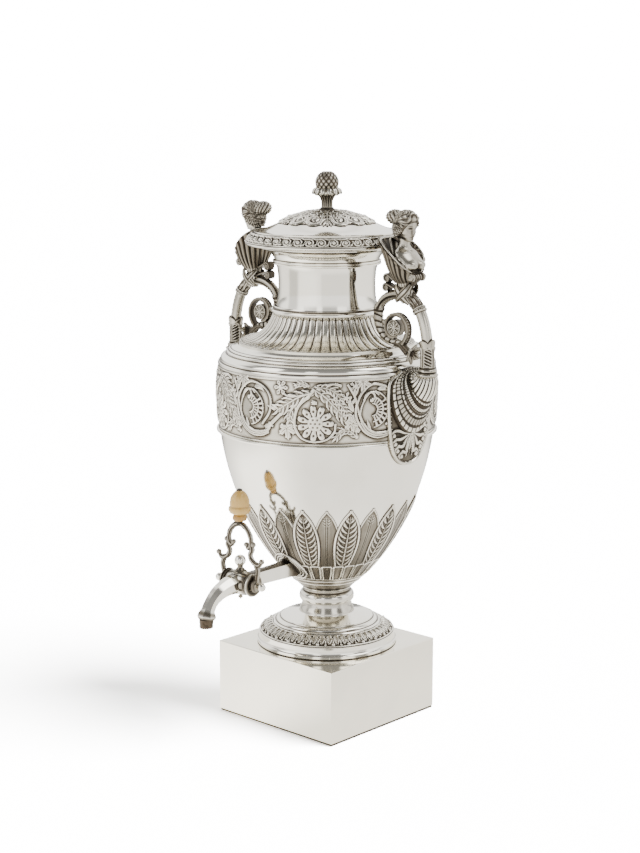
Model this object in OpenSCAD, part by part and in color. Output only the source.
// Silver tea urn: ovoid body on a square plinth, fluted neck, loose lid, two
// bust handles and a lever tap. Z is up, the tap points to -Y, the handles lie
// along X, and the origin is the middle of the plinth's underside.

/* [Plinth] */
// Side of the square plinth
plinth_w = 140; // [130:1:180]
// Height of the plinth
plinth_h = 67.5; // [50:0.5:90]
// Thickness of the plinth's sheet
plinth_wall = 2; // [1.5:0.1:3]
// Thickness of the plate that closes the plinth
base_plate_t = 2.5; // [2:0.1:4]
// Radius of the screws in the base plate
base_screw_r = 1.5; // [1:0.1:2]

/* [Foot] */
// Radius of the foot's plain base ring
foot_r = 64; // [60:0.5:68]
// Height of the plain base ring
foot_ring_h = 11; // [8:0.5:14]
// Radius at the top of the leaf band
foot_band_r = 48.5; // [44:0.5:54]
// Height of the leaf band
foot_band_h = 7.5; // [5:0.5:10]
// Height of the whole foot under the stem collar
foot_h = 38.5; // [34:0.5:46]
// Leaves round the foot
foot_leaves = 48; // [36:2:56]
// Thickness of the foot's sheet
foot_wall = 1.8; // [1.2:0.1:2.4]
// Radius of the stem under its collar
stem_r = 22.3; // [19:0.1:24]
// Radius of the stem collar
collar_r = 25.2; // [23:0.1:28]
// Height of the stem collar
collar_h = 14; // [10:0.5:20]
// Radius of the tie rod that holds the foot to the plinth
tie_r = 3; // [2:0.1:4]

/* [Body] */
// Greatest radius of the body
body_r = 98.5; // [92:0.5:106]
// Radius at the bottom of the body
body_low_r = 23; // [21:0.1:26]
// Height from the bottom of the body to its widest place
belly_h = 183; // [160:1:210]
// Height from the widest place to the top of the frieze
crest_h = 22.5; // [18:0.5:28]
// How far the body draws in from its widest place to the top of the frieze
crest_in = 2; // [0:0.5:6]
// Thickness of the body's sheet
body_wall = 1.2; // [0.9:0.1:1.8]
// Height of the chased frieze
frieze_h = 56; // [40:1:70]
// Thickness of the frieze
frieze_t = 0.9; // [0.6:0.1:1.4]
// Angle between the rosettes of the frieze and the ring in their middle
medallion_step = 32.5; // [28:0.5:36]

/* [Leaf calyx] */
// Leaves round the bottom of the body
calyx_leaves = 24; // [16:2:30]
// Number of tongues in the ring under the calyx
tongues = 30; // [20:1:40]
// Height of the leaf tips above the bottom of the body
calyx_h = 88; // [70:1:100]
// Thickness of the leaves
calyx_t = 1.2; // [0.8:0.1:1.8]
// Turn of the leaves about the axis
calyx_turn = -47.4; // [-60:0.1:60]

/* [Shoulder and neck] */
// Height of the moulded shoulder
shoulder_h = 18.3; // [15:0.1:24]
// Outer radius of the fluted skirt
skirt_r = 79.5; // [74:0.5:82]
// Height of the fluted skirt
skirt_h = 27.2; // [22:0.1:34]
// Flutes round the skirt
skirt_flutes = 52; // [40:2:60]
// Depth of the flutes
flute_depth = 1.2; // [0.6:0.1:1.6]
// Radius of the plain neck
neck_r = 43.1; // [40:0.1:46]
// Height of the neck up to the rim
neck_h = 59; // [50:0.5:70]
// Radius of the mouth's lip
mouth_r = 61; // [58:0.5:64]
// Greatest radius of the rim
rim_r = 73.2; // [69:0.1:78]
// Height of the rim
rim_h = 11.8; // [9:0.1:14]
// Radius of the opening inside the rim
rim_bore_r = 57; // [52:0.1:57.5]
// Scrolls round the rim
rim_scrolls = 42; // [30:2:50]

/* [Lid] */
// Radius of the lid's edge
lid_r = 64.5; // [62:0.1:66]
// Rise of the lid from its edge to the finial
lid_h = 18.5; // [14:0.5:26]
// Thickness of the lid's sheet
lid_wall = 1.2; // [0.9:0.1:1.8]
// Depth of the bezel below the lid's edge
bezel_h = 8; // [5:0.5:9]
// Gap between the lid and the rim
lid_gap = 0.4; // [0.3:0.05:0.6]
// Outer radius of the leafy scrolls on the lid
foliage_r = 47.5; // [40:0.5:52]
// Leafy scrolls on the lid
foliage_lobes = 6; // [5:1:8]
// Radius of the pine cone
cone_r = 10.3; // [9:0.1:12]
// Height of the finial from the lid to the middle of the pine cone
finial_h = 25; // [22:0.5:30]
// Greatest radius of the petal cup
petal_r = 14.5; // [12:0.1:17]

/* [Tap] */
// Distance from the urn's axis to the tap's barrel
tap_reach = 111; // [104:0.5:120]
// Height of the tap above the bottom of the body
tap_rise = 25; // [23:0.5:30]
// Width of the tap's pipe
pipe_w = 10; // [8.5:0.1:12]
// Height of the tap's pipe
pipe_h = 11; // [9:0.1:13]
// Radius of the water way
water_r = 3.2; // [2:0.1:3.6]
// Radius of the barrel
barrel_r = 10.2; // [9.5:0.1:12]
// Half length of the barrel
barrel_l = 16.8; // [15:0.1:18]
// Radius of the bore for the plug
plug_bore_r = 6; // [5.5:0.1:6.8]
// Running clearance of the plug
plug_gap = 0.05; // [0.03:0.01:0.1]
// Radius of the spout's bend
spout_bend = 24; // [22:0.5:28]
// Half width of the spout
spout_r = 7.2; // [6.8:0.1:7.4]
// Radius of the hole in the nozzle
nozzle_bore_r = 4.2; // [3.6:0.1:4.6]
// Height of the yoke's arch above the barrel's axis
yoke_h = 49; // [46:0.5:56]
// Half width of the yoke's arch
yoke_w = 13.2; // [12.6:0.1:15]
// Thickness of the yoke's rod
yoke_t = 3.4; // [2.8:0.1:4]
// Height of the acorn knob
knob_h = 22.5; // [18:0.5:28]
// Greatest radius of the acorn knob
knob_r = 8.9; // [7:0.1:11]

/* [Heater] */
// Radius of the heater sleeve
sleeve_r = 19; // [16:0.5:19.5]
// Length of the heater sleeve
sleeve_h = 236; // [200:1:250]
// Length of the heater iron
iron_h = 185; // [140:1:205]

/* [Handles] */
// How far the arm stands outside the widest place of the body
arm_stand = 17.5; // [15:0.5:22]
// Thickness of the arm
arm_t = 10; // [8:0.1:12]
// Height of the arm's leaf socket
socket_h = 28.5; // [24:0.5:32]
// How far the bust stands outside the rim
bust_stand = 15.5; // [14:0.5:18]
// Height of the bust's head
head_h = 22; // [19:0.5:25]
// Half width of the palmette
palmette_w = 29; // [25:0.5:34]
// Length of the palmette
palmette_h = 77; // [66:1:86]
// Thickness of the palmette
palmette_t = 2.2; // [1.6:0.1:3]
// Gadroons round each bracket cup
cup_gadroons = 22; // [16:2:28]

/* [Hidden] */
$fn = 96;

silver = [0.86, 0.85, 0.82];
shade_silver = [0.66, 0.63, 0.57];
ivory = [0.90, 0.76, 0.52];
iron_grey = [0.30, 0.29, 0.28];

// Play between soldered or screwed pieces that lie against each other on a curved face
seat = 0.06;
// Depth by which a cut runs past the face that it opens
past = 1;

// Levels of the pieces that stack on the axis
z_foot = plinth_h;
z_band = z_foot + foot_ring_h;
z_dome = z_band + foot_band_h;
z_collar = z_foot + foot_h;
z_body = z_collar + collar_h;
z_wide = z_body + belly_h;
z_crest = z_wide + crest_h;
z_skirt = z_crest + shoulder_h;
z_neck = z_skirt + skirt_h;
z_rim = z_neck + neck_h;
z_lid = z_rim + rim_h + lid_gap / 2;
z_finial = z_lid + lid_h;
z_cone = z_finial + finial_h;
z_tap = z_body + tap_rise;

// Points of a cubic curve with control points p, in n steps
function curve(p, n) = [for (i = [0:n]) let (t = i / n, u = 1 - t)
    u * u * u * p[0] + 3 * u * u * t * p[1] + 3 * u * t * t * p[2] + t * t * t * p[3]];

// Points of a smooth curve through the points p, with n steps between neighbours
function through(p, n) = [for (i = [0:len(p) - 2], s = [0:n - 1])
    let (a = p[max(i - 1, 0)], b = p[i], c = p[i + 1], d = p[min(i + 2, len(p) - 1)], t = s / n)
    b + t * (c - a) / 2 + t * t * (a - 2.5 * b + 2 * c - d / 2) + t * t * t * (1.5 * (b - c) + (d - a) / 2)];

// Outline of the body from its bottom to the top of the frieze, as radius and height
crest_r = body_r - crest_in;
body_low = curve([[body_low_r, z_body], [body_low_r + 43, z_body + 39],
    [body_r, z_wide - 81], [body_r, z_wide]], 18);
body_high = curve([[body_r, z_wide], [body_r, z_wide + crest_h / 2],
    [crest_r + 0.6, z_crest - crest_h / 4], [crest_r, z_crest]], 5);
body_line = concat(body_low, [for (i = [1:len(body_high) - 1]) body_high[i]]);
body_table = [for (p = body_line) [p[1], p[0]]];
function body_at(z) = lookup(z, body_table);

// Part of the body's outline between two heights, moved out by d
function body_part(z0, z1, d) = concat([[body_at(z0) + d, z0]],
    [for (p = body_line) if (p[1] > z0 + 0.01 && p[1] < z1 - 0.01) [p[0] + d, p[1]]],
    [[body_at(z1) + d, z1]]);
function backwards(p) = [for (i = [len(p) - 1:-1:0]) p[i]];

// Sheet that lies on the body between two heights, from d0 to d1 outside it
module body_sheet(z0, z1, d0, d1) {
    rotate_extrude()
        polygon(concat(body_part(z0, z1, d1), backwards(body_part(z0, z1, d0))));
}

// Triangles between rings of k points each, with both ends closed
function ring_faces(rings, k) = concat(
    [for (i = [0:rings - 2], j = [0:k - 1]) each [
        [i * k + j, (i + 1) * k + j, i * k + (j + 1) % k],
        [i * k + (j + 1) % k, (i + 1) * k + j, (i + 1) * k + (j + 1) % k]]],
    [for (j = [1:k - 2], e = [0, 1]) let (n = e * (rings - 1) * k)
        [n, n + (e == 0 ? j : j + 1), n + (e == 0 ? j + 1 : j)]]);

// Closed ring about Z. Each point of loop is radius, height and depth of the wave there
module waved_ring(loop, count, per = 2) {
    cols = count * per;
    m = len(loop);
    points = [for (c = [0:cols - 1], q = loop)
        let (a = 360 * c / cols, w = (1 - cos(360 * c / per)) / 2, r = q[0] - q[2] * w)
        [r * cos(a), r * sin(a), q[1]]];
    faces = [for (c = [0:cols - 1], j = [0:m - 1])
        let (d = (c + 1) % cols, n = (j + 1) % m) each [
        [c * m + j, c * m + n, d * m + j],
        [d * m + j, c * m + n, d * m + n]]];
    polyhedron(points, faces);
}

// Stack of ellipses. Each section is height, centre x and y, and radius along x and y
module loft(sections, sides = 16) {
    points = [for (s = sections, j = [0:sides - 1]) let (a = 360 * j / sides)
        [s[1] + s[3] * cos(a), s[2] + s[4] * sin(a), s[0]]];
    polyhedron(points, ring_faces(len(sections), sides));
}

// Rod in the XZ plane along path, whose points are x, z and a share of the width
module rod(path, width, depth, sides = 8) {
    n = len(path);
    points = [for (i = [0:n - 1], j = [0:sides - 1])
        let (a = path[max(i - 1, 0)], b = path[min(i + 1, n - 1)],
            d = [b[0] - a[0], b[1] - a[1]] / norm([b[0] - a[0], b[1] - a[1]]),
            s = path[i][2], turn = 360 * (j + 0.5) / sides)
        [path[i][0] + d[1] * s * width / 2 * cos(turn), s * depth / 2 * sin(turn),
            path[i][1] - d[0] * s * width / 2 * cos(turn)]];
    polyhedron(points, ring_faces(n, sides));
}

// Outline of a pointed leaf of half width w and height h, with its foot at half width f
function leaf(w, h, f) = let (side = curve([[f, 0], [w * 0.95, h * 0.35], [w * 1.1, h * 0.75], [0, h]], 6))
    concat(side, [for (i = [len(side) - 2:-1:0]) [-side[i][0], side[i][1]]]);

// Places the outline of children, drawn in x and y, upright on the side of the urn at an angle
module on_side(angle, z, reach) {
    rotate([0, 0, angle])
        translate([0, 0, z])
            rotate([90, 0, 90])
                linear_extrude(reach)
                    children();
}

// Plinth and what holds the foot on it

corner_block = 12;
block_h = 16;
screw_x = plinth_w / 2 - plinth_wall - corner_block / 2;
screw_play = 0.1;
screw_head_r = 2 * base_screw_r;
tie_play = 0.2;
tie_low = 16;
tie_high = 9;
washer_r = 10;
washer_t = 1.6;
nut_r = 2 * tie_r;
nut_h = 5;

module corners() {
    for (x = [-screw_x, screw_x], y = [-screw_x, screw_x])
        translate([x, y, 0])
            children();
}

module plinth() {
    inner = plinth_w - 2 * plinth_wall;
    color(silver)
    difference() {
        translate([-plinth_w / 2, -plinth_w / 2, 0])
            cube([plinth_w, plinth_w, plinth_h]);
        difference() {
            translate([-inner / 2, -inner / 2, -past])
                cube([inner, inner, plinth_h - plinth_wall + past]);
            corners()
                translate([-corner_block / 2, -corner_block / 2, base_plate_t])
                    cube([corner_block, corner_block, block_h]);
        }
        corners()
            cylinder(r = base_screw_r + screw_play, h = base_plate_t + block_h - 2);
        cylinder(r = tie_r + tie_play, h = plinth_h + past);
    }
}

module base_plate() {
    side = plinth_w - 2 * plinth_wall - 2 * seat;
    color(shade_silver)
    difference() {
        translate([-side / 2, -side / 2, 0])
            cube([side, side, base_plate_t]);
        corners() {
            translate([0, 0, -past])
                cylinder(r = base_screw_r + screw_play, h = base_plate_t + 2 * past);
            translate([0, 0, -0.01])
                cylinder(r1 = screw_head_r + screw_play, r2 = base_screw_r + screw_play,
                    h = screw_head_r - base_screw_r);
        }
    }
}

module base_screws() {
    sunk = 0.2;
    color(shade_silver)
    corners()
        translate([0, 0, sunk]) {
            cylinder(r1 = screw_head_r - sunk, r2 = base_screw_r, h = screw_head_r - sunk - base_screw_r);
            cylinder(r = base_screw_r, h = base_plate_t + block_h - 4);
        }
}

module foot_tie_rod() {
    color(iron_grey)
    translate([0, 0, plinth_h - tie_low])
        cylinder(r = tie_r, h = tie_low + foot_h + tie_high);
}

module foot_washer() {
    color(shade_silver)
    translate([0, 0, plinth_h - plinth_wall - washer_t])
        difference() {
            cylinder(r = washer_r, h = washer_t);
            translate([0, 0, -past])
                cylinder(r = tie_r + tie_play, h = washer_t + 2 * past);
        }
}

module foot_nut() {
    color(iron_grey)
    translate([0, 0, plinth_h - plinth_wall - washer_t - nut_h])
        difference() {
            cylinder(r = nut_r, h = nut_h, $fn = 6);
            translate([0, 0, -past])
                cylinder(r = tie_r + seat, h = nut_h + 2 * past);
        }
}

// Foot

band_low_r = foot_r - 3;
dome_r = foot_band_r - 7.5;
dome_z = z_dome + 6;

module foot_base() {
    color(silver)
    rotate_extrude()
        polygon([[foot_r, z_foot], [foot_r, z_foot + 2.5], [foot_r - 1.6, z_foot + 5],
            [foot_r - 2.2, z_band], [band_low_r - 1, z_band], [foot_band_r, z_dome],
            [foot_band_r - foot_wall, z_dome], [band_low_r - 1 - 2 * foot_wall, z_band - foot_wall],
            [foot_r - 3.5 * foot_wall, z_foot]]);
}

module foot_leaf_band() {
    low = [band_low_r, z_band + seat];
    high = [foot_band_r + 0.8, z_dome - 0.2];
    middle = (low + high) / 2;
    slope = [foot_band_h, band_low_r - 1 - foot_band_r] / norm([foot_band_h, band_low_r - 1 - foot_band_r]);
    color(shade_silver)
    waved_ring([[low[0], low[1], 0], [low[0] + 0.4, low[1] + 1, 0.6],
        [middle[0] + 1.3 * slope[0], middle[1] + 1.3 * slope[1], 1.1],
        [high[0] + 0.3, high[1] + 0.5, 0.5], [high[0] - 0.6, high[1] + 0.2 + 2 * seat, 0],
        [band_low_r - 0.9, z_band + 3 * seat, 0]], foot_leaves);
}

module foot_dome() {
    sweep = curve([[dome_r, dome_z], [dome_r - 9, dome_z + 2.2], [stem_r + 1.2, z_collar - 8],
        [stem_r, z_collar]], 10);
    rings = [[foot_band_r, z_dome], [foot_band_r + 0.7, z_dome + 0.8], [foot_band_r - 0.3, z_dome + 1.8],
        [foot_band_r - 1.8, z_dome + 2], [foot_band_r - 3.2, z_dome + 3.8],
        [foot_band_r - 5.8, z_dome + 4.7], [dome_r + 0.6, z_dome + 5.9]];
    outer = concat(rings, sweep);
    inner = [[stem_r - foot_wall, z_collar], [stem_r + 0.5 - foot_wall, z_collar - 8],
        [dome_r - 9, dome_z + 0.6 - foot_wall], [foot_band_r - 6, z_dome + 2.4 - foot_wall],
        [foot_band_r - 2 * foot_wall, z_dome]];
    color(silver)
    rotate_extrude()
        polygon(concat(outer, inner));
}

module stem_collar() {
    waist_r = body_low_r - 1.4;
    bead = curve([[stem_r, z_collar], [collar_r + 0.8, z_collar + 0.5],
        [collar_r + 1, z_collar + collar_h * 0.62], [waist_r, z_collar + collar_h * 0.7]], 8);
    cup = curve([[waist_r, z_collar + collar_h * 0.7], [waist_r - 0.4, z_collar + collar_h * 0.85],
        [body_low_r - 0.4, z_collar + collar_h * 0.9], [body_low_r, z_body]], 4);
    color(silver)
    difference() {
        rotate_extrude()
            polygon(concat([[0, z_collar]], bead, [for (i = [1:len(cup) - 1]) cup[i]], [[0, z_body]]));
        translate([0, 0, z_collar - past])
            cylinder(r = tie_r + seat, h = tie_high + past + seat);
    }
}

// Body

module body() {
    floor_z = z_body + 2 * body_wall;
    inner = body_part(floor_z, z_crest, -body_wall);
    color(silver)
    difference() {
        rotate_extrude()
            polygon(concat([[0, z_body]], body_line, backwards(inner), [[0, floor_z]]));
        translate([0, 0, z_tap])
            rotate([90, 0, 0])
                cylinder(r = water_r, h = body_r);
    }
}

tongue_h = 16;
tongue_z = z_body + 15;
leaf_z = tongue_z + tongue_h + 0.4;
leaf_h = z_body + calyx_h - leaf_z;
leaf_r = body_at(z_body + calyx_h * 0.72);
leaf_w = leaf_r * sin(180 / calyx_leaves) - 0.3;
leaf_foot_w = body_at(leaf_z) * sin(180 / calyx_leaves) - 0.35;

// Arch of the tap's escutcheon, seen along the pipe
escutcheon_w = 16;
escutcheon_top = 17;
escutcheon_low = 8.5;
module escutcheon_outline(grow) {
    top = curve([[escutcheon_w + grow, 0], [escutcheon_w + grow, escutcheon_top * 0.75],
        [escutcheon_w * 0.6, escutcheon_top + grow], [0, escutcheon_top + grow]], 6);
    low = curve([[0, -escutcheon_low - grow], [escutcheon_w * 0.6, -escutcheon_low - grow],
        [escutcheon_w + grow, -escutcheon_low * 0.6], [escutcheon_w + grow, 0]], 5);
    half = concat(low, [for (i = [1:len(top) - 1]) top[i]]);
    polygon(concat(half, [for (i = [len(half) - 2:-1:1]) [-half[i][0], half[i][1]]]));
}

module calyx() {
    color(shade_silver)
    difference() {
        for (i = [0:calyx_leaves - 1])
            intersection() {
                body_sheet(leaf_z - 1, z_body + calyx_h + 2, seat, calyx_t);
                on_side(calyx_turn + 360 * i / calyx_leaves, leaf_z, body_r + 10)
                    polygon(leaf(leaf_w * (i % 2 == 0 ? 0.86 : 1), leaf_h, leaf_foot_w));
            }
        on_side(-90, z_tap, body_r + 10)
            escutcheon_outline(0.4);
    }
}

module calyx_ring() {
    low = tongue_z;
    high = tongue_z + tongue_h;
    rows = 3;
    outer = [for (i = [0:rows]) let (z = low + (high - low) * i / rows)
        [body_at(z) + 0.6 + (i == 0 ? 0.5 : 1), z, i == 0 ? 0 : 0.9]];
    inner = [for (i = [rows:-1:0]) let (z = low + (high - low) * i / rows) [body_at(z) + 0.5, z, 0]];
    color(shade_silver)
    difference() {
        rotate([0, 0, calyx_turn])
            waved_ring(concat(outer, inner), tongues);
        on_side(-90, z_tap, body_r + 10)
            escutcheon_outline(0.4);
    }
}

frieze_low = z_crest - 0.6 - frieze_h;
rosette_r = frieze_h * 0.2;
medallion_turn = -86;

// Raised disc with a boss in the frieze
module medallion(r) {
    cylinder(r = r, h = frieze_t + 0.7);
    cylinder(r = r * 0.4, h = frieze_t + 1.5);
}

module frieze() {
    z = frieze_low + frieze_h * 0.34;
    back = body_at(z + rosette_r) + seat;
    color(shade_silver)
    union() {
        body_sheet(frieze_low, z_crest - 0.6, seat, frieze_t);
        for (side = [0, 180], k = [-1, 0, 1])
            rotate([0, 0, side + medallion_turn + k * medallion_step])
                translate([back, 0, z])
                    rotate([0, 90, 0])
                        medallion(k == 0 ? rosette_r * 0.7 : rosette_r);
    }
}

wire_r = 1.5;

module frieze_wire() {
    z = frieze_low - wire_r - 0.3;
    color(silver)
    difference() {
        rotate_extrude()
            translate([body_at(z) + wire_r + seat, z])
                circle(r = wire_r);
        for (angle = [0, 180])
            on_side(angle, plaque_low, body_r + 20)
                palmette_outline(0.3);
    }
}

// Shoulder, neck and rim

module shoulder() {
    low_band = [[crest_r + 0.8, z_crest], [crest_r + 0.8, z_crest + 3], [crest_r - 0.9, z_crest + 3.4]];
    round_band = curve([[crest_r - 0.9, z_crest + 3.9], [crest_r - 0.9, z_crest + 7],
        [crest_r - 3.4, z_crest + 9.6], [crest_r - 6, z_crest + 9.8]], 5);
    reeds = [[crest_r - 7, z_crest + 10.2], [crest_r - 6.6, z_crest + 11.6], [crest_r - 7.8, z_crest + 12.6],
        [crest_r - 9, z_crest + 12.9], [crest_r - 9.2, z_crest + 14.2], [crest_r - 11, z_crest + 14.8]];
    outer = concat(low_band, round_band, reeds, [[skirt_r + 0.5, z_skirt]]);
    inner = [[skirt_r - 9, z_skirt], [skirt_r - 9, z_skirt - body_wall * 1.6], [crest_r - 11, z_crest + 12.4],
        [crest_r - 3.5, z_crest + 6], [crest_r - 2.4, z_crest]];
    color(silver)
    rotate_extrude()
        polygon(concat(outer, inner));
}

neck_low_r = neck_r + 2.9;
skirt_line = curve([[skirt_r - 1, z_skirt + 3], [skirt_r - 17.5, z_skirt + 4.6],
    [neck_low_r + 6, z_neck - 14], [neck_low_r + 2, z_neck]], 5);

module neck_skirt() {
    last = len(skirt_line) - 1;
    outer = [for (i = [0:last]) let (p = skirt_line[i])
        [p[0], p[1], i == 0 || i == last ? 0 : flute_depth]];
    inner = [for (i = [last, last - 2, 1]) let (p = skirt_line[i])
        [p[0] - 2.4, p[1] - (i < last ? 1.4 : 0), 0]];
    color(silver)
    waved_ring(concat([[skirt_r, z_skirt, 0], [skirt_r, z_skirt + 2.2, 0]], outer, inner,
        [[skirt_r - 8, z_skirt, 0]]), skirt_flutes);
}

neck_line = concat(curve([[neck_low_r, z_neck], [neck_low_r - 0.5, z_neck + 8], [neck_r, z_neck + 10],
    [neck_r, z_neck + neck_h * 0.42]], 6),
    [[neck_r, z_neck + neck_h * 0.5]],
    curve([[neck_r + 0.3, z_neck + neck_h * 0.56], [neck_r + 0.6, z_neck + neck_h * 0.66],
    [neck_r + 1.8, z_neck + neck_h * 0.72], [neck_r + 2.6, z_neck + neck_h * 0.75]], 4),
    [[neck_r + 3.4, z_neck + neck_h * 0.81]],
    curve([[neck_r + 4.4, z_neck + neck_h * 0.84], [neck_r + 6, z_neck + neck_h * 0.9],
    [mouth_r - 6, z_rim - 1.5], [mouth_r, z_rim - 0.8]], 6));
function neck_at(z) = lookup(z, [for (p = neck_line) [p[1], p[0]]]);

module neck() {
    inner = [for (i = [len(neck_line) - 1:-1:0]) let (p = neck_line[i])
        [p[0] - body_wall, p[1] + (i > 10 ? 0.8 : 0)]];
    color(silver)
    rotate_extrude()
        polygon(concat(neck_line, [[mouth_r, z_rim]], [[mouth_r - body_wall, z_rim]], inner));
}

lower_ring_r = 2;
module neck_lower_ring() {
    z = z_neck + lower_ring_r + 0.2;
    seat_r = neck_low_r + seat;
    color(silver)
    rotate_extrude() {
        translate([seat_r + lower_ring_r * 1.05, z])
            circle(r = lower_ring_r);
        translate([seat_r, z - lower_ring_r])
            square([lower_ring_r, 2 * lower_ring_r + 2.4]);
    }
}

module neck_upper_ring() {
    low = z_neck + neck_h * 0.735;
    reed = 0.95;
    seat_r = neck_at(low + 3.6) + seat;
    color(silver)
    rotate_extrude() {
        translate([seat_r, low])
            square([1, 4 * reed]);
        for (s = [1, 3])
            translate([seat_r + 1, low + s * reed])
                circle(r = reed);
    }
}

rim_slope_r = lid_r + 2;
rim_edge = 1.6;

module rim() {
    color(silver)
    rotate_extrude()
        polygon([[rim_bore_r, z_rim], [mouth_r + 4, z_rim + 0.2], [rim_r - 1.4, z_rim + 1.6],
            [rim_r - 0.8, z_rim + 2.2], [rim_r - 0.8, z_rim + 2.2 + rim_edge],
            [rim_slope_r - 1, z_rim + rim_h], [rim_bore_r, z_rim + rim_h]]);
}

module rim_ornament() {
    foot_point = [rim_r - 0.8, z_rim + 2.2 + rim_edge];
    head_point = [rim_slope_r - 1, z_rim + rim_h];
    along = (head_point - foot_point) / norm(head_point - foot_point);
    away = [along[1], -along[0]];
    length = norm(head_point - foot_point);
    at = function (s, d, w) let (p = foot_point + along * length * s + away * d) [p[0], p[1], w];
    color(shade_silver)
    waved_ring([at(0.03, seat, 0), at(0.08, 0.9, 0.1), at(0.3, 1.7, 1), at(0.62, 1.7, 1), at(0.86, 0.8, 0.1),
        at(0.9, seat, 0)], rim_scrolls);
}

// Lid and finial

lid_edge_h = 1.6;
finial_seat_r = 9;
lid_line = curve([[lid_r, z_lid + lid_edge_h], [lid_r * 0.78, z_lid + lid_h * 0.22],
    [lid_r * 0.53, z_lid + lid_h * 0.65], [finial_seat_r, z_finial]], 14);
lid_table = backwards([for (p = lid_line) [p[0], p[1]]]);
function lid_at(r) = lookup(r, lid_table);
finial_rod_r = 2;
rod_play = 0.1;
bezel_r = rim_bore_r - lid_gap;

module lid_dome() {
    inner = [for (i = [len(lid_line) - 1:-1:1]) [lid_line[i][0], lid_line[i][1] - lid_wall]];
    color(silver)
    difference() {
        rotate_extrude()
            polygon(concat([[lid_r, z_lid]], lid_line, [[0, z_finial], [0, z_finial - lid_wall]], inner,
                [[bezel_r + 2, lid_at(bezel_r + 2) - lid_wall], [bezel_r + 2, z_lid]]));
        translate([0, 0, z_finial - lid_wall - past])
            cylinder(r = finial_rod_r + rod_play, h = lid_wall + 2 * past);
    }
}

module lid_bezel() {
    wall = 1.2;
    color(silver)
    rotate_extrude()
        polygon([[bezel_r, z_lid - bezel_h], [bezel_r, lid_at(bezel_r) - lid_wall - 0.1],
            [bezel_r - wall, lid_at(bezel_r) - lid_wall - 0.1], [bezel_r - wall, z_lid - bezel_h]]);
}

module scroll_leaf() {
    reach = foliage_r - finial_seat_r;
    ring = reach * 0.3;
    middle = foliage_r - ring;
    translate([middle, 0])
        difference() {
            circle(r = ring);
            circle(r = ring * 0.55);
        }
    translate([middle, 0])
        circle(r = ring * 0.3);
    between = 2 * middle * sin(90 / foliage_lobes) - ring * 0.85;
    for (s = [-1, 1])
        translate([middle - ring * 0.9, s * ring * 0.8])
            circle(r = ring * 0.5);
    rotate([0, 0, 180 / foliage_lobes])
        translate([middle, 0])
            circle(r = between);
    translate([finial_seat_r + 3, -ring * 0.2])
        square([middle - finial_seat_r - 3, ring * 0.4]);
}

module lid_foliage() {
    lift = 0.15;
    thick = 1.9;
    line = [for (p = lid_line) if (p[0] < foliage_r + 4 && p[0] > finial_seat_r + 1) p];
    color(shade_silver)
    intersection() {
        rotate_extrude()
            polygon(concat([for (p = line) [p[0], p[1] + lift + thick]],
                [for (p = backwards(line)) [p[0], p[1] + lift]]));
        translate([0, 0, z_lid])
            linear_extrude(lid_h + 2 * thick)
                union() {
                    for (i = [0:foliage_lobes - 1])
                        rotate([0, 0, 360 * i / foliage_lobes])
                            scroll_leaf();
                    difference() {
                        circle(r = finial_seat_r + 5);
                        circle(r = finial_seat_r + 1.5);
                    }
                }
    }
}

vase_h = finial_h - cone_r - 5.2;
vase_flutes = 16;
petals = 14;

module finial_vase() {
    top = z_finial + vase_h;
    line = curve([[5.8, z_finial + 3.4], [5.2, z_finial + 7], [6, z_finial + vase_h * 0.75],
        [petal_r - 5.5, top]], 5);
    outer = [for (i = [0:len(line) - 1]) [line[i][0], line[i][1], i == 0 ? 0 : 0.7]];
    bore = finial_rod_r + rod_play;
    color(silver)
    waved_ring(concat([[6.6, z_finial, 0], [6.8, z_finial + 1.6, 0], [6.2, z_finial + 2.8, 0]], outer,
        [[bore, top, 0], [bore, z_finial, 0]]), vase_flutes);
}

module finial_petals() {
    low = z_finial + vase_h;
    high = z_cone - cone_r * 0.62;
    bore = finial_rod_r + rod_play;
    color(shade_silver)
    waved_ring([[petal_r - 5.6, low, 0], [petal_r - 2, low + 0.8, 0.8], [petal_r, low + 2, 1.8],
        [petal_r - 0.8, low + 3.4, 1.2], [petal_r - 4.4, high, 0.5], [bore, high, 0], [bore, low, 0]],
        petals);
}

module finial_cone() {
    rows = 9;
    scales = 12;
    start = z_cone - cone_r * 0.62;
    sides = 2 * scales;
    points = [for (i = [0:rows], j = [0:sides - 1])
        let (h = -0.62 + 1.6 * i / rows, bump = (i + j) % 2 == 0 ? 1 : 0.93,
            r = cone_r * sqrt(1 - h * h) * bump)
        [r * cos(360 * j / sides), r * sin(360 * j / sides), z_cone + cone_r * h]];
    color(shade_silver)
    difference() {
        polyhedron(points, ring_faces(rows + 1, sides));
        translate([0, 0, start - past])
            cylinder(r = finial_rod_r + rod_play, h = cone_r + past + seat);
    }
}

finial_nut_h = 3;
finial_nut_r = 4.6;
module finial_rod() {
    low = z_finial - lid_wall - finial_nut_h - 2;
    color(iron_grey)
    translate([0, 0, low])
        cylinder(r = finial_rod_r, h = z_cone - cone_r * 0.62 + cone_r - low);
}

module finial_nut() {
    color(shade_silver)
    translate([0, 0, z_finial - lid_wall - finial_nut_h])
        difference() {
            cylinder(r = finial_nut_r, h = finial_nut_h, $fn = 6);
            translate([0, 0, -past])
                cylinder(r = finial_rod_r + seat, h = finial_nut_h + 2 * past);
        }
}

// Tap: fixed pieces

escutcheon_t = 2.4;
barrel_core = barrel_l - 3.6;
spout_start = 7;
nozzle_h = 5.5;
nozzle_ring_h = 2.4;
spout_end_z = z_tap - spout_bend;

module at_barrel() {
    translate([0, -tap_reach, z_tap])
        children();
}

module body_solid(d) {
    rotate_extrude()
        polygon(concat([[0, z_body]], body_part(z_body, z_crest, d), [[0, z_crest]]));
}

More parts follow.
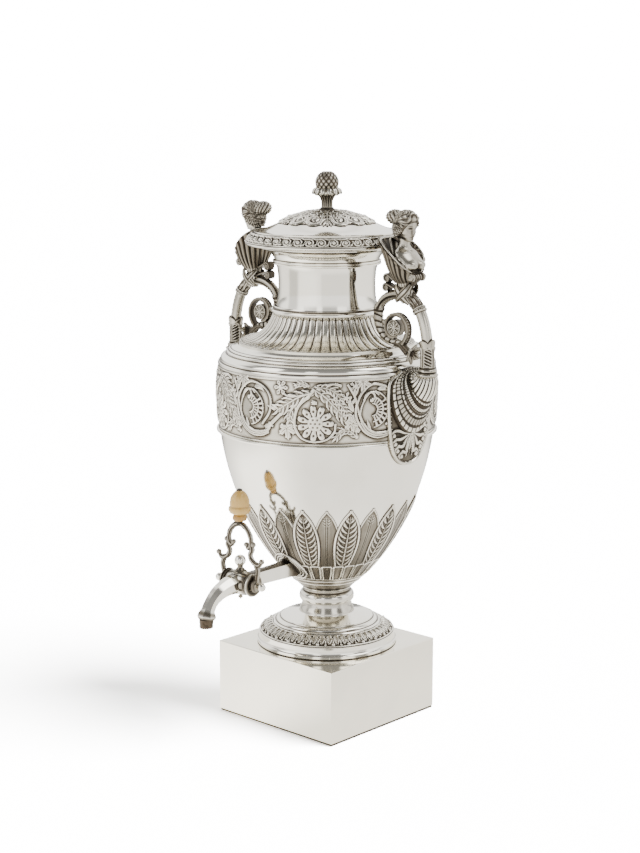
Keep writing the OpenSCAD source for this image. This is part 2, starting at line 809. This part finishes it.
module tap_escutcheon() {
    low = z_tap - escutcheon_low - 0.1;
    color(silver)
    difference() {
        intersection() {
            body_sheet(low, z_tap + escutcheon_top + 0.1, seat, escutcheon_t);
            on_side(-90, z_tap, body_r + 10)
                escutcheon_outline(0);
        }
        translate([0, 0, z_tap])
            rotate([90, 0, 0])
                cylinder(r = water_r, h = body_r);
    }
}

module tap_pipe() {
    length = tap_reach - barrel_r;
    grow = 1.5;
    color(silver)
    difference() {
        intersection() {
            translate([0, 0, z_tap])
                linear_extrude(2 * pipe_h, center = true)
                    polygon([[-pipe_w / 2 - grow, 0], [pipe_w / 2 + grow, 0],
                        [pipe_w / 2, -tap_reach], [-pipe_w / 2, -tap_reach]]);
            translate([-pipe_w, 0, z_tap])
                rotate([90, 0, 90])
                    linear_extrude(2 * pipe_w)
                        polygon([[0, -pipe_h / 2 - grow], [0, pipe_h / 2 + grow],
                            [-tap_reach, pipe_h / 2], [-tap_reach, -pipe_h / 2]]);
        }
        body_solid(escutcheon_t + 0.1);
        at_barrel()
            rotate([0, 90, 0])
                cylinder(r = barrel_r + seat, h = 4 * barrel_l, center = true);
        translate([0, 0, z_tap])
            rotate([90, 0, 0])
                cylinder(r = water_r, h = tap_reach);
    }
}

module tap_barrel() {
    drop_h = 6;
    color(silver)
    at_barrel()
        difference() {
            union() {
                rotate([0, 90, 0])
                    cylinder(r = barrel_r, h = 2 * barrel_core, center = true);
                for (s = [-1, 1])
                    rotate([0, s * 90, 0])
                        translate([0, 0, barrel_core - 1]) {
                            cylinder(r = barrel_r - 1.4, h = 2);
                            translate([0, 0, 1.6])
                                cylinder(r = barrel_r + 0.2, h = barrel_l - barrel_core - 0.6);
                        }
                translate([0, 0, -barrel_r - drop_h + 1])
                    cylinder(r1 = 1.2, r2 = 5, h = drop_h);
            }
            rotate([0, 90, 0])
                cylinder(r = plug_bore_r, h = 4 * barrel_l, center = true);
            rotate([90, 0, 0])
                cylinder(r = water_r, h = 4 * barrel_r, center = true);
        }
}

ball_r = 4.5;
ball_z = barrel_r + 9.6;

module tap_ball() {
    stem = curve([[6.2, barrel_r - 2.5], [5, barrel_r + 1.5], [2.6, barrel_r + 2],
        [2.2, ball_z - ball_r * 0.8]], 5);
    color(silver)
    at_barrel()
        difference() {
            union() {
                rotate_extrude()
                    polygon(concat([[0, barrel_r - 2.5]], stem, [[0, ball_z - ball_r * 0.8]]));
                translate([0, 0, ball_z])
                    sphere(r = ball_r);
            }
            rotate([0, 90, 0])
                cylinder(r = barrel_r + seat, h = 4 * barrel_l, center = true);
        }
}

module spout_section() {
    difference() {
        rotate([0, 0, 22.5])
            circle(r = spout_r / cos(22.5), $fn = 8);
        circle(r = nozzle_bore_r);
    }
}

module tap_spout() {
    root = 3;
    y_bend = -tap_reach - barrel_r - spout_start;
    color(silver)
    union() {
        difference() {
            translate([0, y_bend + spout_start + root, z_tap])
                rotate([90, 0, 0])
                    linear_extrude(spout_start + root)
                        spout_section();
            at_barrel()
                rotate([0, 90, 0])
                    cylinder(r = barrel_r + seat, h = 4 * barrel_l, center = true);
        }
        translate([0, y_bend, spout_end_z])
            rotate([90, 0, -90])
                rotate_extrude(angle = 90)
                    translate([spout_bend, 0])
                        spout_section();
    }
}

module tap_nozzle() {
    y_out = -tap_reach - barrel_r - spout_start - spout_bend;
    color(shade_silver)
    translate([0, y_out, spout_end_z - nozzle_ring_h - nozzle_h])
        difference() {
            union() {
                cylinder(r = spout_r - 0.8, h = nozzle_h + 1);
                translate([0, 0, nozzle_h])
                    rotate([0, 0, 22.5])
                        cylinder(r = spout_r + 1.6, h = nozzle_ring_h, $fn = 8);
            }
            translate([0, 0, -past])
                cylinder(r = nozzle_bore_r, h = nozzle_h + nozzle_ring_h + 2 * past);
        }
}

// Tap: pieces that turn with the lever

tenon = 7;
eye_in = barrel_l + 0.4;
eye_t = 3.6;
eye_r = 6.4;
pin_r = 1.6;
pin_depth = 7;
pin_ball_r = 3.2;
pin_reach = 26;
shank_r = 2.8;
collar_t = 5.4;
stud_r = 1.6;
knob_z = yoke_h + 6 + collar_t;

module tap_plug() {
    color(shade_silver)
    at_barrel()
        difference() {
            union() {
                rotate([0, 90, 0])
                    cylinder(r = plug_bore_r - plug_gap, h = 2 * barrel_l, center = true);
                cube([2 * (eye_in + eye_t - 0.3), tenon, tenon], center = true);
            }
            cylinder(r = water_r, h = 4 * plug_bore_r, center = true);
            for (s = [-1, 1])
                rotate([0, s * 90, 0])
                    translate([0, 0, eye_in + eye_t - pin_depth])
                        cylinder(r = pin_r, h = pin_depth + past);
        }
}

module yoke_side() {
    arch = through([[0, yoke_h, 1], [yoke_w * 0.55, yoke_h - 0.8, 1], [yoke_w * 0.93, yoke_h - 5.5, 0.95],
        [yoke_w, yoke_h - 11.5, 0.9], [yoke_w * 0.88, yoke_h - 16, 0.95],
        [yoke_w * 0.72, yoke_h - 17.4, 1]], 3);
    leg = through([[yoke_w + 3.4, yoke_h - 16, 0.8], [yoke_w - 0.6, yoke_h - 17.8, 1],
        [yoke_w - 0.8, yoke_h - 24, 1], [yoke_w + 2.2, yoke_h - 29.6, 1.1],
        [yoke_w + 6.8, yoke_h - 31.6, 1], [yoke_w + 11.2, yoke_h - 28.6, 0.8]], 3);
    post_x = eye_in + eye_t / 2;
    rod(arch, yoke_t, yoke_t, 6);
    rod(leg, yoke_t, yoke_t, 6);
    translate([post_x, 0, 0])
        cylinder(r = yoke_t / 2, h = yoke_h - 30);
    translate([yoke_w + 11.2, 0, yoke_h - 28.6])
        sphere(r = yoke_t * 0.55, $fn = 24);
    translate([yoke_w + 3.4, 0, yoke_h - 16])
        sphere(r = yoke_t * 0.5, $fn = 24);
    translate([yoke_w * 0.72, 0, yoke_h - 17.4])
        sphere(r = yoke_t * 0.52, $fn = 24);
    rotate([0, 90, 0])
        translate([0, 0, eye_in])
            cylinder(r = eye_r, h = eye_t);
}

module tap_yoke() {
    color(silver)
    at_barrel()
        difference() {
            union() {
                for (m = [0, 1])
                    mirror([m, 0, 0])
                        yoke_side();
                translate([0, 0, yoke_h - 1])
                    cylinder(r = shank_r, h = 7);
                translate([0, 0, yoke_h])
                    cylinder(r = stud_r, h = knob_z - yoke_h + knob_h - 2);
            }
            cube([4 * pin_reach, tenon + 2 * seat, tenon + 2 * seat], center = true);
        }
}

module tap_end_pins() {
    color(silver)
    at_barrel()
        for (s = [-1, 1])
            rotate([0, s * 90, 0]) {
                translate([0, 0, eye_in + eye_t - pin_depth + 0.5])
                    cylinder(r = pin_r - seat, h = pin_reach - eye_in - eye_t + pin_depth);
                translate([0, 0, eye_in + eye_t + 0.1])
                    cylinder(r = tenon * 0.62, h = 1);
                translate([0, 0, pin_reach])
                    sphere(r = pin_ball_r);
            }
}

module tap_knob_collar() {
    r = knob_r * 0.67;
    color(ivory)
    at_barrel()
        translate([0, 0, yoke_h + 6])
            difference() {
                rotate_extrude()
                    polygon([[0, 0], [r * 0.7, 0], [r, collar_t * 0.3], [r, collar_t * 0.62],
                        [r * 0.72, collar_t], [0, collar_t]]);
                translate([0, 0, -past])
                    cylinder(r = stud_r + seat, h = collar_t + 2 * past);
            }
}

module tap_knob() {
    cup = curve([[knob_r * 0.45, 0], [knob_r * 0.85, 0.6], [knob_r, knob_h * 0.12],
        [knob_r, knob_h * 0.25]], 4);
    nut = curve([[knob_r * 0.9, knob_h * 0.3], [knob_r * 0.84, knob_h * 0.6], [knob_r * 0.7, knob_h * 0.95],
        [knob_r * 0.2, knob_h]], 7);
    color(ivory)
    at_barrel()
        translate([0, 0, knob_z])
            difference() {
                rotate_extrude()
                    polygon(concat([[0, 0]], cup, nut, [[0, knob_h]]));
                translate([0, 0, -past])
                    cylinder(r = stud_r + seat, h = knob_h + 2 * past);
            }
}

module tap_knob_cap() {
    color(iron_grey)
    at_barrel()
        translate([0, 0, knob_z + knob_h])
            difference() {
                rotate_extrude()
                    polygon([[0, 0], [stud_r * 1.5, 0], [stud_r * 1.2, 1], [0, 1.6]]);
                translate([0, 0, -past])
                    cylinder(r = stud_r * 0.4, h = past + 0.4);
            }
}

// Heater inside the vessel

sleeve_wall = 1;
sleeve_z = z_body + 2 * body_wall;

module heater_sleeve() {
    color(shade_silver)
    translate([0, 0, sleeve_z])
        difference() {
            cylinder(r = sleeve_r, h = sleeve_h);
            translate([0, 0, sleeve_wall])
                cylinder(r = sleeve_r - sleeve_wall, h = sleeve_h);
        }
}

module heater_iron() {
    r = sleeve_r - sleeve_wall - 0.8;
    color(iron_grey)
    translate([0, 0, sleeve_z + sleeve_wall]) {
        cylinder(r = r, h = iron_h - 3);
        translate([0, 0, iron_h - 3])
            cylinder(r1 = r, r2 = r - 3, h = 3);
        translate([0, 0, iron_h + 4])
            rotate([90, 0, 0])
                rotate_extrude()
                    translate([6, 0])
                        circle(r = 2.2);
    }
}

module heater_cap() {
    lap = 8;
    t = 1.2;
    fit_r = sleeve_r + 0.15;
    grip_r = 4;
    color(shade_silver)
    translate([0, 0, sleeve_z + sleeve_h])
        rotate_extrude()
            polygon([[fit_r, -lap], [fit_r + t, -lap], [fit_r + t, t], [grip_r, t + 3], [grip_r, t + 8],
                [0, t + 9], [0, 0], [fit_r, 0]]);
}

// Handles, drawn for +X

x_arm = body_r + arm_stand;
z_arm = z_crest + 0.7;
z_socket = z_arm + socket_h;
x_bust = rim_r + bust_stand;
z_crown = z_rim - 36;
x_disc = x_bust - 10.2;
z_disc = z_skirt + 20.6;
disc_r = 7;
disc_t = 8.4;
scroll_t = 8;
plaque_low = z_crest + 3 - palmette_h;
z_chin = z_rim + 9.5;

module palmette_outline(grow = 0) {
    w = palmette_w + grow;
    h = palmette_h + 2 * grow;
    low = curve([[0, 0], [w * 0.55, h * 0.03], [w * 0.98, h * 0.28], [w, h * 0.58]], 7);
    high = curve([[w * 0.99, h * 0.64], [w * 0.97, h * 0.85], [w * 0.7, h * 0.95], [w * 0.42, h]], 5);
    half = concat(low, high);
    translate([0, -grow])
        polygon(concat(half, [for (i = [len(half) - 1:-1:1]) [-half[i][0], half[i][1]]]));
}

palmette_over = frieze_t + 0.1;

module palmette() {
    color(shade_silver)
    intersection() {
        body_sheet(plaque_low - 1, z_crest - 0.4, palmette_over, palmette_over + palmette_t);
        on_side(0, plaque_low, body_r + 20)
            palmette_outline();
    }
}

cup_over = palmette_over + palmette_t + 0.35;
cup_swell = 5;
gadroon_swell = 1.1;

// Bracket cup that swells from the arm's lowest ring to an oval on the palmette
module cup() {
    steps = 6;
    cols = 2 * cup_gadroons;
    oval_w = palmette_w * 0.66;
    oval_h = palmette_h * 0.375;
    oval_z = z_arm - oval_h;
    ring_r = 7.6;
    sole_rings = 2;
    sole = function (a, share)
        let (y = share * oval_w * sin(a), z = oval_z - share * oval_h * 0.94 * cos(a),
            r = body_at(z) + cup_over)
        [sqrt(r * r - y * y), y, z];
    ring = function (a) [x_arm + ring_r * cos(a), ring_r * sin(a), z_arm];
    points = concat([for (i = [0:steps], c = [0:cols - 1])
        let (a = 360 * c / cols, t = i / steps, ease = t * t * (3 - 2 * t), p = ring(a), q = sole(a, 1),
            ridge = i == 0 || i == steps || c % 2 == 1 ? 0 : gadroon_swell,
            out = sin(180 * t) * (cup_swell + ridge))
        [p[0] + (q[0] - p[0]) * ease + out * 0.6 * (1 + cos(a)),
            p[1] + (q[1] - p[1]) * ease + out * sin(a),
            p[2] + (q[2] - p[2]) * t]],
        [for (i = [1:sole_rings], c = [0:cols - 1]) sole(360 * c / cols, 1 - i / (sole_rings + 1))],
        [[x_arm, 0, z_arm], sole(0, 0)]);
    last = steps + sole_rings;
    top = (last + 1) * cols;
    faces = concat([for (i = [0:last - 1], c = [0:cols - 1]) let (d = (c + 1) % cols) each [
            [i * cols + c, i * cols + d, (i + 1) * cols + c],
            [i * cols + d, (i + 1) * cols + d, (i + 1) * cols + c]]],
        [for (c = [0:cols - 1]) let (d = (c + 1) % cols) [d, c, top]],
        [for (c = [0:cols - 1]) let (d = (c + 1) % cols) [last * cols + c, last * cols + d, top + 1]]);
    color(silver)
    polyhedron(points, faces);
}

// Leafy knot at the crown of the handle, which the arm, the scroll and the bust meet
module crown_core(grow) {
    top = z_rim - 11;
    loft([[z_crown - 7 - grow, x_bust + 4, 0, 4.6 + grow, 4 + grow],
        [z_crown - 4, x_bust + 4, 0, 7.4 + grow, 5.8 + grow],
        [z_crown, x_bust + 4, 0, 8 + grow, 6.4 + grow],
        [z_crown + 6, x_bust + 3, 0, 6 + grow, 6 + grow],
        [z_crown + 11, x_bust + 3, 0, 8 + grow, 8 + grow],
        [top - 4, x_bust + 3, 0, 10.5 + grow, 10 + grow],
        [top, x_bust + 2, 0, 9.6 + grow, 11 + grow]], 16);
}

module arm() {
    line = curve([[x_bust + 4, z_crown - 1], [x_bust + 17, z_crown - 4], [x_arm - 2, z_socket + 18],
        [x_arm, z_socket - 3]], 12);
    shaft = [for (i = [0:len(line) - 1]) [line[i][0], line[i][1], i < 3 ? 0.8 + 0.06 * i : 1]];
    collar_at = line[5];
    collar_dir = line[6] - line[4];
    color(silver)
    difference() {
        union() {
            rod(shaft, arm_t, arm_t, 12);
            translate([collar_at[0], 0, collar_at[1]])
                rotate([0, atan2(collar_dir[0], collar_dir[1]), 0])
                    cylinder(r = arm_t / 2 + 1.3, h = 3.6, center = true);
            translate([x_arm, 0, 0])
                rotate_extrude()
                    polygon([[0, z_arm + 0.1], [8.6, z_arm + 0.1], [8.9, z_arm + 1.4], [8.2, z_arm + 2.8],
                        [7, z_arm + 3], [7.6, z_arm + 4.4], [7, z_arm + 5.8], [5.9, z_arm + 6.4],
                        [5.9, z_socket - 7], [6.4, z_socket - 3], [7.2, z_socket], [5, z_socket],
                        [0, z_socket - 1]]);
        }
        crown_core(seat);
    }
}

module scroll() {
    x_in = x_disc - 17.8;
    c_top = curve([[x_bust + 1, z_crown - 1], [x_bust - 12, z_crown + 1], [x_in, z_crown - 6],
        [x_in, (z_crown + z_disc) / 2 - 5]], 9);
    c_low = curve([[x_in, (z_crown + z_disc) / 2 - 5], [x_in, z_disc - 3], [x_disc - 11.5, z_disc - 13.6],
        [x_disc + 4.2, z_disc - 11.6]], 8);
    line = concat(c_top, [for (i = [1:len(c_low) - 1]) c_low[i]]);
    last = len(line) - 1;
    stem = [for (i = [0:last]) [line[i][0], line[i][1], 1 - 0.45 * i / last]];
    volute = [for (i = [0:18]) let (a = -52 + 292 * i / 18, r = 15.8 - 8.2 * pow(i / 18, 0.8))
        [x_disc + r * cos(a), z_disc + r * sin(a), 1 - 0.25 * i / 18]];
    color(silver)
    difference() {
        union() {
            rod(stem, scroll_t, scroll_t, 8);
            rod(volute, 3.4, scroll_t, 8);
            translate([x_disc, disc_t / 2, z_disc])
                rotate([90, 0, 0])
                    cylinder(r = disc_r, h = disc_t);
            translate([x_disc - 12.4, 0, z_disc + 3.4])
                sphere(r = 3, $fn = 24);
            translate([x_disc + 11.4, 0, z_disc - 13.4])
                sphere(r = 4, $fn = 24);
        }
        crown_core(seat);
    }
}

module rosettes() {
    petal_count = 8;
    color(shade_silver)
    for (s = [-1, 1])
        translate([x_disc, s * (disc_t / 2 + seat), z_disc])
            rotate([s * -90, 0, 0])
                union() {
                    cylinder(r = disc_r * 0.36, h = 1.9);
                    for (i = [0:petal_count - 1])
                        rotate([0, 0, 360 * i / petal_count])
                            translate([disc_r * 0.58, 0, 0])
                                cylinder(r = disc_r * 0.26, h = 1.2);
                }
}

module bust_torso(grow) {
    low = z_rim - 10.9;
    loft([[low - grow, x_bust + 3, 0, 9 + grow, 10.4 + grow],
        [low + 4, x_bust + 4, 0, 10.6 + grow, 11.6 + grow],
        [low + 7, x_bust + 3.4, 0, 9.8 + grow, 12.6 + grow],
        [low + 11, x_bust + 1, 0, 7.4 + grow, 12.4 + grow],
        [low + 13.6, x_bust, 0, 5.6 + grow, 9 + grow],
        [low + 15, x_bust, 0, 4.4 + grow, 5.4 + grow],
        [low + 18, x_bust + 0.4, 0, 4 + grow, 4.2 + grow],
        [z_chin + 2, x_bust + 0.8, 0, 4 + grow, 4.4 + grow]], 16);
}

// Space of the rim and its scrolls, with some room round it
module rim_space() {
    room = 1.6;
    rotate_extrude()
        polygon([[0, z_rim - room], [mouth_r + 4, z_rim - room], [rim_r + room, z_rim + 1],
            [rim_r + room, z_rim + 4.5], [rim_slope_r + 2 * room, z_rim + rim_h + room],
            [0, z_rim + rim_h + room]]);
}

// Fluted shell wing behind one shoulder
module wing(side) {
    difference() {
        loft([[z_rim - 14, x_bust - 4, side * 10, 5, 2.6], [z_rim - 6, x_bust - 7, side * 12.5, 8, 3],
            [z_rim + 3, x_bust - 10, side * 13.5, 9.4, 3],
            [z_rim + 8, x_bust - 9, side * 13.5, 6.4, 2.2]], 12);
        bust_torso(0.2);
        rim_space();
    }
}

// Crossed leaves at the crown, with the volutes before and behind and the shell wings
module leaves() {
    z_low = z_crown + 4.5;
    z_high = z_crown + 12.5;
    z_front = z_crown + 15.5;
    volutes = [[x_bust + 15, z_front, 3.4], [x_bust - 16.5, z_high, 3.2], [x_bust - 17.5, z_low, 3]];
    volute_t = 6;
    color(shade_silver)
    union() {
        crown_core(0);
        for (side = [-1, 1]) {
            for (v = volutes)
                translate([v[0], side * 4.6 + volute_t / 2, v[1]])
                    rotate([90, 0, 0])
                        cylinder(r = v[2], h = volute_t);
            wing(side);
        }
        rod([[x_bust + 4, z_low + 4.5, 1], [x_bust - 6, z_low + 2, 0.8],
            [x_bust - 17.5, z_low, 0.6]], 6, 7, 8);
        rod([[x_bust + 4, z_high + 0.5, 1], [x_bust - 6, z_high - 0.5, 0.8],
            [x_bust - 16.5, z_high, 0.6]], 5, 7, 8);
        rod([[x_bust + 4, z_front - 2.5, 1], [x_bust + 11, z_front - 2, 0.9],
            [x_bust + 15, z_front - 0.5, 0.7]], 6, 9, 8);
    }
}

module head() {
    w = head_h * 0.36;
    loft([[z_chin, x_bust + 4, 0, 2.6, 2.4],
        [z_chin + head_h * 0.1, x_bust + 3.6, 0, w * 0.62, w * 0.56],
        [z_chin + head_h * 0.3, x_bust + 2, 0, w, w * 0.82],
        [z_chin + head_h * 0.52, x_bust + 1, 0, w * 1.2, w],
        [z_chin + head_h * 0.74, x_bust, 0, w * 1.22, w * 1.02],
        [z_chin + head_h * 0.9, x_bust - 0.6, 0, w, w * 0.84],
        [z_chin + head_h, x_bust - 1, 0, w * 0.5, w * 0.4]], 16);
}

module bust() {
    color(silver)
    union() {
        bust_torso(0);
        head();
        translate([x_bust - 9.6, 0, z_chin + head_h * 0.78])
            sphere(r = head_h * 0.28, $fn = 32);
        translate([x_bust - 6.4, 0, z_chin + head_h * 0.32])
            sphere(r = head_h * 0.22, $fn = 32);
    }
}

plinth();
base_plate();
base_screws();
foot_tie_rod();
foot_washer();
foot_nut();
foot_base();
foot_leaf_band();
foot_dome();
stem_collar();
body();
calyx();
calyx_ring();
frieze();
frieze_wire();
shoulder();
neck_skirt();
neck();
neck_lower_ring();
neck_upper_ring();
rim();
rim_ornament();
lid_dome();
lid_bezel();
lid_foliage();
finial_vase();
finial_petals();
finial_cone();
finial_rod();
finial_nut();
tap_escutcheon();
tap_pipe();
tap_barrel();
tap_ball();
tap_spout();
tap_nozzle();
tap_plug();
tap_yoke();
tap_end_pins();
tap_knob_collar();
tap_knob();
tap_knob_cap();
heater_sleeve();
heater_iron();
heater_cap();
mirror([1, 0, 0]) palmette();  // left_palmette
mirror([1, 0, 0]) cup();  // left_cup
mirror([1, 0, 0]) arm();  // left_arm
mirror([1, 0, 0]) scroll();  // left_scroll
mirror([1, 0, 0]) rosettes();  // left_rosettes
mirror([1, 0, 0]) leaves();  // left_leaves
mirror([1, 0, 0]) bust();  // left_bust
palmette();  // right_palmette
cup();  // right_cup
arm();  // right_arm
scroll();  // right_scroll
rosettes();  // right_rosettes
leaves();  // right_leaves
bust();  // right_bust
